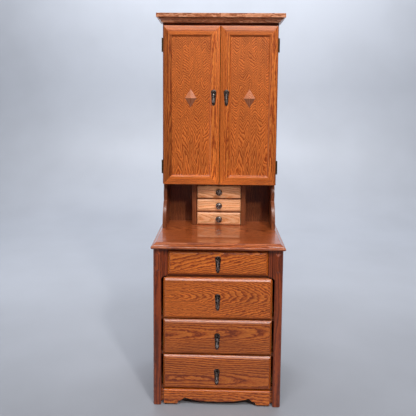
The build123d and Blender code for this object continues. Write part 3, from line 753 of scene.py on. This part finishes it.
def cornice():
    # one profile carried round three sides, mitred at the two front corners: square band, quirk, cove
    lo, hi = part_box("cornice")
    height, depth = (hi.z - lo.z) / mm, moulding["depth"]
    upper = [(inset, height - down) for inset, down in moulding["band"] + moulding["quirk"]]
    coveIn, coveDown = moulding["coveStart"]
    cove = arc((coveIn, height - coveDown), moulding["coveEnd"], moulding["coveBulge"], 10)[1:].tolist()
    profile = np.array(upper + cove + [(moulding["under"], 0), (depth, 0), (depth, height)]) * mm
    inset, z = profile[:, 0], profile[:, 1] + lo.z
    corners = {
        "left": ((lo.x, hi.y, 1, 0), (lo.x, lo.y, 1, 1)),
        "front": ((lo.x, lo.y, 1, 1), (hi.x, lo.y, -1, 1)),
        "right": ((hi.x, lo.y, -1, 1), (hi.x, hi.y, -1, 0)),
    }
    for number, (part, ends) in enumerate(corners.items()):
        rings = [np.stack([x + dx * inset, y + dy * inset, z], -1) for x, y, dx, dy in ends]
        piece = ringPiece("cornice_" + part, np.stack(rings), 24)
        turn = "frontAcross" if part == "front" else "sideDeep"
        figure = dict(ring=5, pith=(0, 45), taper=0.05, start=-400, seed=23 + number)
        wood = oak(f"cornice{part.title()}Oak", "cornice", turn, middle("cornice"), **figure)
        finish(piece, "root", "oak_carcass", wood, "cornice")
    x0, x1, under, back = lo.x + depth * mm, hi.x - depth * mm, hi.z - moulding["cap"], hi.y - 0.3 * mm
    cap = easedBoard((x0, lo.y + depth * mm, under), (x1, hi.y, hi.z - 0.3 * mm), 0.5 * mm)
    rail = easedBoard((x0, hi.y - moulding["rail"], lo.z), (x1, back, under), 0.5 * mm)
    piece = ringGroup("cornice_cap", [cap, rail])
    wood = oak("capOak", "carcass", "topAcross", middle("cornice"), seed=29)
    finish(piece, "root", "oak_carcass", wood, "cornice")


cornice()
print("cabinet made")

doorLook = dict(
    outerFall=5.0,  # how far the face falls away to the door's outer edge
    grooveAt=0.5,  # share of a member's width where the groove runs
    panelDrop=9.6,  # from the frame's face down to the panel
    back=19,  # from the frame's face to its back
    lip=(5.6 * mm, 4.5 * mm),  # how far the panel runs behind the frame, across and up
    panelThick=6 * mm,
    # painted light per member, in the order left stile, right stile, bottom rail, top rail: the left door's
    # outer stile is painted in shade, the others lighter or darker as light falls on them
    paintedLightTones=dict(door_left=(0.56, 1.02, 1.02, 0.92), door_right=(0.87, 0.87, 1.02, 0.92)),
)


def memberProfile(width):
    # (distance from the door's outer edge, depth below the face), both in mm: a face that rises
    # inwards, a fine groove, a low bead and a step down to the panel
    fall, at, drop = doorLook["outerFall"], doorLook["grooveAt"] * width, doorLook["panelDrop"]
    back = doorLook["back"]
    outer = [(0, back), (0, fall + 2.2), (0.7, fall + 0.7), (2.4, fall - 0.2)]
    groove = [(at - 1.6, 0.5), (at - 0.6, 1.8), (at + 0.8, 1.8), (at + 1.6, 0.3)]
    band = [(at + 3, 0), (width - 10, 0)]
    bead = [(width - 10 + 7 * math.sin(t), 7 - 7 * math.cos(t)) for t in np.linspace(0.2, math.pi / 2, 7)]
    inner = [(width - 1.6, 7.2), (width, 8.2), (width, drop + 0.4), (width - 6, drop + 0.4)]
    return np.array(outer + groove + band + bead + inner + [(width - 6, back)])


def doorFrame(side, door):
    # four members between the door's edge and the panel opening, mitred where they meet
    lo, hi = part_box(door + "_frame")
    face = lo.y
    panelLo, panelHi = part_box(door + "_panel")
    lip = doorLook["lip"]
    opening = (panelLo.x + lip[0], panelHi.x - lip[0], panelLo.z + lip[1], panelHi.z - lip[1])
    edges = (lo.x, hi.x, lo.z, hi.z)
    widths = [abs(a - b) / mm for a, b in zip(edges, opening)]  # left, right, bottom, top
    profiles = [memberProfile(w) * mm for w in widths]
    left, right, bottom, top = profiles
    # each corner takes its inset across from the stile and its inset up or down from the rail
    corners = {
        "bl": (edges[0] + left[:, 0], edges[2] + bottom[:, 0]),
        "br": (edges[1] - right[:, 0], edges[2] + bottom[:, 0]),
        "tr": (edges[1] - right[:, 0], edges[3] - top[:, 0]),
        "tl": (edges[0] + left[:, 0], edges[3] - top[:, 0]),
    }
    members = {
        "left_stile": ("bl", "tl", "frontUp", left),
        "right_stile": ("br", "tr", "frontUp", right),
        "bottom_rail": ("bl", "br", "frontAcross", bottom),
        "top_rail": ("tl", "tr", "frontAcross", top),
    }
    for number, (member, (first, second, turn, profile)) in enumerate(members.items()):
        # the member's tone is painted light or shade
        tone = doorLook["paintedLightTones"][door][number]
        rings = []
        for corner in (first, second):
            x, z = corners[corner]
            rings.append(np.stack([x, face + profile[:, 1], z], -1))
        piece = ringPiece(f"{door}_{member}", np.stack(rings), 28)
        centre = Vector((rings[0][:, 0].mean() / 2 + rings[1][:, 0].mean() / 2, face, (lo.z + hi.z) / 2))
        wood = oak(
            f"{door}_{member}Oak", "door", turn, centre, ring=4, pith=(18 - 9 * number, 40), taper=0.02,
            start=-500 + 60 * number, feather=2.2, seed=31 + number + 5 * side, tone=tone,
        )
        finish(piece, door, "oak_door_frame", wood, door + "_frame")


diamond = dict(fromMiddle=142 * mm, height=1402 * mm, halfWidth=28 * mm, halfHeight=45 * mm, rise=9 * mm)


def doorPanel(side, door):
    # flat veneered panel and, applied to its middle, a diamond: four faces rising to one point
    lo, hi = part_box(door + "_panel")
    face = hi.y - doorLook["panelThick"]
    board = easedBoard((lo.x, face, lo.z), (hi.x, hi.y, hi.z), 0.4 * mm)
    piece = ringPiece(f"{door}_panel_veneered", board)
    centre = Vector(((lo.x + hi.x) / 2, face, lo.z))
    wood = flameVeneer(f"{door}PanelOak", centre, 51 + side, -6 * side)
    finish(piece, door, "oak_door_panel", wood, door + "_panel")
    x, z, rise = side * diamond["fromMiddle"], diamond["height"], diamond["rise"]
    rings = []
    for shrink, out in ((0, -0.3 * mm), (0, 0.8 * mm), (0.96, rise * 0.97), (0.99, rise)):
        w, h = diamond["halfWidth"] * (1 - shrink), diamond["halfHeight"] * (1 - shrink)
        rings.append(facing(np.array([(w, 0), (0, h), (-w, 0), (0, -h)]) + (x, z), face - out))
    lozenge = ringPiece(f"{door}_diamond", np.stack(rings), 10)
    figure = dict(ring=4, pith=(0, 30), taper=0.2, feather=2.0, seed=57 + side)
    wood = oak(f"{door}DiamondOak", "diamond", "frontUp", (x, face, z), **figure)
    finish(lozenge, door, "oak_door_panel", wood, door + "_panel")
    # the two undercut facets are painted darker as shade, with a shaded copy of the same oak
    shadedFacets = oak(f"{door}DiamondPaintedShadeOak", "diamond", "frontUp", (x, face, z), tone=0.42, **figure)
    lozenge.data.materials.append(shadedFacets)
    for facet in lozenge.data.polygons:
        facet.material_index = int(facet.center.z < z and facet.normal.y < 0)


for side, door in ((-1, "door_left"), (1, "door_right")):
    doorFrame(side, door)
    doorPanel(side, door)
print("doors made")

drawerLook = {
    "big": dict(arris=1.6, slope=10.5, fall=8.2, step=0.7, finish="drawer", slot="oak_drawer_front"),
    "small": dict(arris=1.2, slope=7.0, fall=3.6, step=0.5, finish="small", slot="oak_small_drawer"),
}
# how each front was sawn: where its pith lies, how fast the rings run out, and how the grain leans
drawerFigure = {
    # tone is painted light: the top drawer lighter and the two lowest darker, as the light falls off towards
    # the floor
    "drawer_1": dict(tone=1.07, pith=(-60, 60), taper=0.06, start=-420, tilt=-9, feather=4.0, ring=6.5),
    "drawer_2": dict(pith=(-12, 6), taper=0.2, start=-200, tilt=0, feather=4.5, ring=6.0),
    "drawer_3": dict(tone=0.82, pith=(-25, 26), taper=0.05, start=-500, tilt=-2, feather=3.5, ring=7.0),
    "drawer_4": dict(tone=0.86, pith=(30, 40), taper=0.03, start=-500, tilt=1, feather=3.0, ring=7.0),
    "small_drawer_1": dict(pith=(60, 90), taper=0.04, start=-300, tilt=2, feather=1.5, ring=6.0),
    "small_drawer_2": dict(pith=(-70, 120), taper=0.03, start=-300, tilt=-2, feather=1.5, ring=6.0),
    "small_drawer_3": dict(pith=(0, 22), taper=0.1, start=-300, tilt=3, feather=2.5, ring=6.0),
}


def drawerFront(name, kind, topRadius, seed):
    # rounded rectangles stacked from back to face: each is the outline drawn in by the edge profile,
    # which is a quarter-round arris, a gentle slope and a fine step up to the field
    look = drawerLook[kind]
    lo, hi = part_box(name + "_front")
    thick = (hi.y - lo.y) / mm
    arris, slope, fall, step = (look[k] for k in ("arris", "slope", "fall", "step"))
    turn = np.linspace(0, math.pi / 2, 5)
    rounded = [(arris * (1 - math.cos(t)), fall + arris * (1 - math.sin(t))) for t in turn]
    sloped = arc((arris, fall), (slope, step), -0.5, 5)[1:].tolist()
    field = [(slope + 0.5, step * 0.4), (slope + 0.9, 0)]
    profile = [(0.4, thick), (0, thick - 0.5)] + rounded + sloped + field
    halfX, halfZ = (hi.x - lo.x) / 2, (hi.z - lo.z) / 2
    rings = []
    for inset, depth in np.array(profile) * mm:
        radii = [max(r * mm - inset, 0.4 * mm) for r in (topRadius, topRadius, 1, 1)]
        ring = roundedRing(halfX - inset, halfZ - inset, radii) + (0, (lo.z + hi.z) / 2)
        rings.append(facing(ring, lo.y + depth))
    piece = ringPiece(name + "_front_board", np.stack(rings), 24)
    centre = Vector((0, lo.y, (lo.z + hi.z) / 2))
    wood = oak(name + "Oak", look["finish"], "frontAcross", centre, seed=seed, **drawerFigure[name])
    finish(piece, name, look["slot"], wood, name + "_front")


for number in (1, 2, 3, 4):
    drawerFront(f"drawer_{number}", "big", 12 if number == 2 else 1, 60 + number)
for number in (1, 2, 3):
    drawerFront(f"small_drawer_{number}", "small", 1, 70 + number)

pull = dict(
    plateHeight=[0, 2, 6, 11, 16, 22, 30, 38, 48, 58, 67, 74, 78],
    plateWidth=[2.0, 7.5, 12.2, 13.9, 13.6, 12.8, 11.8, 11.0, 10.4, 9.8, 8.8, 5.6, 1.0],
    plateRise=[1.2, 1.8, 2.4, 2.6, 2.6, 2.4, 2.2, 2.0, 2.0, 2.0, 1.9, 1.6, 1.0],
    dropHeight=[3, 5, 8, 13, 19, 25, 27, 29, 31, 34, 38, 42, 45, 47, 49],
    dropWidth=[1.8, 2.6, 3.4, 3.1, 2.6, 2.8, 3.6, 3.0, 3.4, 5.4, 6.9, 6.2, 4.4, 2.6, 0.6],
    plateMost=14.0,  # half width that no lobe passes
    crown=(12, 16),  # middle and half height of the lobed part
    lobe=6.2,  # height of one lobe
    pinDown=17,  # the pin's axis below the plate's top
    pinOut=8,  # and in front of its back
    pinRadius=1.45,
    ears=(4.0, 6.4),  # from the middle to each ear's two faces
    earRadius=2.9,
    eye=(2.42, 0.75, 3.2),  # radius of the ring, then its half depth and half width
)


def closedTurn(count):
    return np.linspace(0, 2 * math.pi, count, endpoint=False)


def pullPlate(body):
    # half-round section across the plate whose width and rise change with height; five lobes ripple
    # the crown and a raised rim follows the edge; two ears and a pin carry the drop
    lo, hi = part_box(body + "_pull_plate")
    x, back, top = (lo.x + hi.x) / 2, hi.y, hi.z
    t = np.linspace(0, pull["plateHeight"][-1], 61)
    width = smoothThrough(pull["plateHeight"], pull["plateWidth"], t)
    crownMiddle, crownHalf = pull["crown"]
    crown = np.clip(1 - np.abs(t - crownMiddle) / crownHalf, 0, 1)
    width = width * (0.97 - 0.05 * crown * np.cos(t * 2 * math.pi / pull["lobe"]))
    width = np.minimum(width, pull["plateMost"])
    rise = smoothThrough(pull["plateHeight"], pull["plateRise"], t)
    share = np.linspace(-1, 1, 25)
    rim = 0.55 * np.exp(-(((np.abs(share) - 0.86) / 0.08) ** 2))
    flute = 0.35 * crown[:, None] * np.cos(share * 4 * math.pi)
    dome = np.sqrt(np.clip(1 - share**8, 0, 1)) * (0.72 + 0.28 * np.cos(share * math.pi / 2) ** 2)
    front = rise[:, None] * dome + rim * (share**8 < 0.99) + flute * dome
    front = np.clip(front, 0, 3.4)
    ringX = np.concatenate([share * width[:, None], share[::-1] * width[:, None]], 1)
    ringY = np.concatenate([front, np.zeros_like(front)], 1)
    ringZ = np.repeat(t[:, None], ringX.shape[1], 1)
    stacks = [np.stack([x + ringX * mm, back - ringY * mm, top - ringZ * mm], -1)]
    pinZ, pinY = top - pull["pinDown"] * mm, back - pull["pinOut"] * mm
    near, far = (reach * mm for reach in pull["ears"])
    turn, radius = closedTurn(20), pull["earRadius"]
    earY, earZ = np.sin(turn) * radius * mm, np.cos(turn) * radius * mm
    # an ear is a circle round the pin, stretched back to the plate
    ear = np.stack([pinY + earY * np.where(earY > 0, 1.9, 1.0), pinZ + earZ], -1)
    for side in (-1, 1):
        stacks.append(easedPlate(ear[::-1], sideways, x + side * near, x + side * far, 0.5 * mm, 2))
    turn, radius = closedTurn(16), pull["pinRadius"]
    pin = np.stack([pinY + radius * mm * np.cos(turn), pinZ + radius * mm * np.sin(turn)], -1)
    stacks.append(np.stack([sideways(pin, x - far), sideways(pin, x + far)]))
    piece = ringGroup(body + "_pull_plate_cast", stacks, 40)
    finish(piece, body, "antique_bronze", bronze, body + "_pull_plate")


def pullDrop(body):
    # a baluster flattened front to back: elliptical rings whose width follows the turned outline,
    # hung by an eye round the pin
    lo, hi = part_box(body + "_drop")
    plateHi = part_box(body + "_pull_plate")[1]
    x, pinY, pinZ = (lo.x + hi.x) / 2, plateHi.y - pull["pinOut"] * mm, plateHi.z - pull["pinDown"] * mm
    t = np.linspace(pull["dropHeight"][0], pull["dropHeight"][-1], 64)
    width = smoothThrough(pull["dropHeight"], pull["dropWidth"], t)
    turn = closedTurn(24)
    deep = np.clip(width * 0.8, 0.3, 3.5)
    ringX = np.cos(turn) * width[:, None]
    ringY = np.sin(turn) * deep[:, None]
    ringZ = np.repeat(t[:, None], len(turn), 1)
    drop = np.stack([x + ringX * mm, pinY + ringY * mm, pinZ - ringZ * mm], -1)
    eyeRadius, eyeDeep, eyeWide = pull["eye"]
    eye = []
    for tube in np.linspace(0, 2 * math.pi, 13):
        radius = eyeRadius + eyeDeep * math.cos(tube)
        ring = np.stack([pinY + radius * mm * np.cos(turn), pinZ + radius * mm * np.sin(turn)], -1)
        eye.append(sideways(ring, x + eyeWide * mm * math.sin(tube)))
    piece = ringPiece(body + "_drop_cast", drop, 40)
    eyePiece = torusPiece(body + "_drop_eye", np.stack(eye))
    # the drop is rubbed lighter by fingers and painted lighter still as a highlight
    finish(piece, body + "_drop", "antique_bronze", rubbedAndSheenBronze, body + "_drop")
    finish(eyePiece, body + "_drop", "antique_bronze", bronze, body + "_drop")


def torusPiece(name, rings):
    # rings that close on themselves both ways, so no end faces
    ringCount, pointCount = rings.shape[:2]
    faces = ringFaces(ringCount, pointCount)[:-2]
    return meshPiece(name, rings.reshape(-1, 3), faces, 60)


# the turned outline, in mm: out from the drawer's face, and the radius there
knobLook = dict(
    out=[0, 0.8, 3, 7, 10, 12, 14, 15.6, 17, 17.8, 17.6, 18.6, 20.2, 20.9],
    radius=[10, 10, 8.4, 6, 8.5, 13, 15.6, 15.9, 14.6, 12.6, 11.6, 10.6, 6.5, 0.4],
    most=(21, 16),
    rubbedAndSheenMiddle=7.0,
    rubbedAndSheenRing=(10.0, 12.6),
)


def knob(body):
    # turned about the drawer's axis: foot, waist, broad rim, a ring groove and a domed face
    lo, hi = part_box(body + "_knob")
    x, z, back = (lo.x + hi.x) / 2, (lo.z + hi.z) / 2, hi.y
    t = np.linspace(0, 1, 60)
    places = np.linspace(0, 1, len(knobLook["out"]))
    reach, wide = (smoothThrough(places, knobLook[key], t) for key in ("out", "radius"))
    reach, wide = np.clip(reach, 0, knobLook["most"][0]), np.clip(wide, 0.2, knobLook["most"][1])
    turn = closedTurn(32)
    ringX = x + np.cos(turn) * wide[:, None] * mm
    ringZ = z + np.sin(turn) * wide[:, None] * mm
    ringY = np.repeat((back - reach * mm)[:, None], len(turn), 1)
    piece = ringPiece(body + "_knob_cast", np.stack([ringX, ringY, ringZ], -1), 45)
    finish(piece, body, "antique_bronze", bronze, body + "_knob")
    # fingers rub the ring and the middle of the face to a lighter bronze, and there it is painted lighter
    # still as a highlight
    piece.data.materials.append(rubbedAndSheenBronze)
    ringStart, ringEnd = knobLook["rubbedAndSheenRing"]
    for facet in piece.data.polygons:
        span = math.hypot(facet.center.x - x, facet.center.z - z) / mm
        rubbedAndSheen = span < knobLook["rubbedAndSheenMiddle"] or ringStart < span < ringEnd
        facet.material_index = int(rubbedAndSheen and facet.normal.y < -0.2)


for body in ("door_left", "door_right", "drawer_1", "drawer_2", "drawer_3", "drawer_4"):
    pullPlate(body)
    pullDrop(body)
for number in (1, 2, 3):
    knob(f"small_drawer_{number}")
print("drawers, pulls and knobs made")

# CAD nodes that stay, with their finish and the way their grain runs
keptBoards = {
    "rear_posts": ("carcass", "frontUp"),
    "front_rails": ("carcass", "frontAcross"),
    "chest_back_panel": ("plain", "frontUp"),
    "chest_bottom_board": ("plain", "topAcross"),
    "drawer_runners": ("plain", "sideDeep"),
    "hutch_back_panel": ("carcass", "frontUp"),
    "cabinet_top": ("carcass", "topAcross"),
    "cabinet_bottom": ("carcass", "topAcross"),
    "cabinet_back_panel": ("plain", "frontUp"),
    "cabinet_shelves": ("carcass", "topAcross"),
}
for number in (1, 2, 3, 4):
    keptBoards[f"drawer_{number}_box"] = ("plain", "sideDeep")
for number in (1, 2, 3):
    keptBoards[f"small_drawer_{number}_box"] = ("plain", "sideDeep")
for number, (node, (look, turn)) in enumerate(keptBoards.items()):
    figure = dict(ring=7, pith=(15, 70), taper=0.1, start=-200, seed=80 + number)
    dress(node, oak(node + "Wood", look, turn, middle(node), **figure))
for node in ("fixed_hinge_leaves", "door_left_hinge_leaves", "door_right_hinge_leaves"):
    dress(node, hingeMetal)
dress("shelf_pins", pinSteel)
dress("door_catches", catchPlastic)


stage = dict(reach=16.0, bend=1.6, wallY=4.6, wallTop=7.0, front="#73757B", back="#BDC2CC")


def studio():
    # floor that curves up into a wall behind: flat, quarter circle, upright
    turn = np.linspace(0, math.pi / 2, 12)
    reach, bend, wallY = stage["reach"], stage["bend"], stage["wallY"]
    y = np.concatenate([[-reach], wallY - bend + bend * np.sin(turn), [wallY]])
    z = np.concatenate([[0], bend * (1 - np.cos(turn)), [stage["wallTop"]]])
    points = np.concatenate([np.stack([np.full(len(y), x), y, z], -1) for x in (-reach, reach)])
    count = len(y)
    faces = [[k, k + 1, count + k + 1, count + k] for k in range(count - 1)]
    mesh = bpy.data.meshes.new("studioSweep")
    mesh.from_pydata(points.tolist(), [], faces)
    mesh.shade_smooth()
    floor = bpy.data.objects.new("studio_sweep", mesh)
    bpy.context.scene.collection.objects.link(floor)
    # painted floor, grey in front and pale towards the wall, with soft clouds 0.6 m wide
    material, tree, shader = newMaterial("paleFloor")
    place = addNode(tree, "ShaderNodeTexCoord").outputs["Object"]
    split = addNode(tree, "ShaderNodeSeparateXYZ", links={"Vector": place})
    depth = {0: split.outputs["Y"]}
    back = addNode(tree, "ShaderNodeMapRange", {1: -1.6, 2: 1.4, 3: 0.0, 4: 0.8}, depth)
    cloud = addNode(tree, "ShaderNodeTexNoise", {"Scale": 1.6, "Detail": 3.0}, {"Vector": place})
    blend = addNode(tree, "ShaderNodeMath", timesPlus, [cloud, 0.25, back])
    ramp = addNode(tree, "ShaderNodeValToRGB", links={"Fac": blend})
    stops = ramp.color_ramp.elements
    stops[0].position, stops[0].color = 0.1, linearColour(stage["front"])
    stops[1].position, stops[1].color = 0.95, linearColour(stage["back"])
    tree.links.new(ramp.outputs["Color"], shader.inputs["Base Color"])
    shader.inputs["Roughness"].default_value = 0.45
    mesh.materials.append(material)


# place, target, size, watts and colour of each panel of light
lightPanels = {
    "keyLight": ((1.75, -4.3, 4.05), (0, 0.05, 0.95), (0.4, 0.4), 108, (1.0, 0.96, 0.9)),
    "ceilingLight": ((0.0, -2.3, 3.7), (0, -2.0, 0.0), (3.2, 0.9), 115, (1.0, 0.98, 0.98)),
    "leftWindow": ((-3.2, -0.3, 1.2), (0, 0, 1.0), (2.6, 2.0), 32, (0.92, 0.96, 1.0)),
    "wallWash": ((0.0, 2.0, 4.6), (0, 4.4, 1.6), (6.0, 0.6), 230, (0.97, 0.98, 1.0)),
}
# one narrow lamp, low in front, reaches under the cabinet to the small drawers
drawerLamp = dict(place=(0.0, -2.6, 0.5), target=(0.0, 0.12, 0.95), watts=190, spread=4.0, radius=0.12)


def hangLamp(name, kind, place, target, watts):
    # a lamp that faces its target and that the camera doesn't see
    source = bpy.data.lights.new(name, kind)
    source.energy = watts
    lamp = bpy.data.objects.new(name, source)
    lamp.location = place
    lamp.rotation_euler = (Vector(target) - Vector(place)).to_track_quat("-Z", "Y").to_euler()
    lamp.visible_camera = False
    bpy.context.scene.collection.objects.link(lamp)
    return lamp, source


def lightStage():
    place, target, watts = (drawerLamp[key] for key in ("place", "target", "watts"))
    lamp, source = hangLamp("drawerLamp", "SPOT", place, target, watts)
    source.spot_size = math.radians(drawerLamp["spread"])
    source.spot_blend = 0.7
    source.shadow_soft_size = drawerLamp["radius"]
    lamp.visible_glossy = False
    for name, (place, target, size, watts, colour) in lightPanels.items():
        lamp, source = hangLamp(name, "AREA", place, target, watts)
        source.shape = "RECTANGLE"
        source.size, source.size_y = size
        source.color = colour
    world = bpy.data.worlds.new("softSky")
    world.use_nodes = True
    background = world.node_tree.nodes["Background"]
    background.inputs["Color"].default_value = (0.86, 0.9, 1.0, 1.0)
    background.inputs["Strength"].default_value = 0.05
    bpy.context.scene.world = world


view = dict(place=(0.00956, -2.42645, 1.38005), yaw=1.51, pitch=5.55, roll=0.49, lens=44.10, shiftY=-0.1337)


def aimCamera():
    yaw, pitch, roll = (math.radians(view[k]) for k in ("yaw", "pitch", "roll"))
    forward = Vector((-math.sin(yaw) * math.cos(pitch), math.cos(yaw) * math.cos(pitch), -math.sin(pitch)))
    right = Vector((math.cos(yaw), math.sin(yaw), 0))
    up = right.cross(forward)
    turnedRight = right * math.cos(roll) + up * math.sin(roll)
    turnedUp = up * math.cos(roll) - right * math.sin(roll)
    camera = bpy.data.cameras.new("camera")
    camera.lens, camera.sensor_width, camera.shift_y = view["lens"], 36.0, view["shiftY"]
    eye = bpy.data.objects.new("camera", camera)
    turn = Matrix((turnedRight, turnedUp, -forward)).transposed().to_4x4()
    eye.matrix_world = Matrix.Translation(view["place"]) @ turn
    bpy.context.scene.collection.objects.link(eye)
    bpy.context.scene.camera = eye


studio()
lightStage()
aimCamera()
bpy.context.scene.view_settings.view_transform = "Standard"
print("stage, light and camera set")
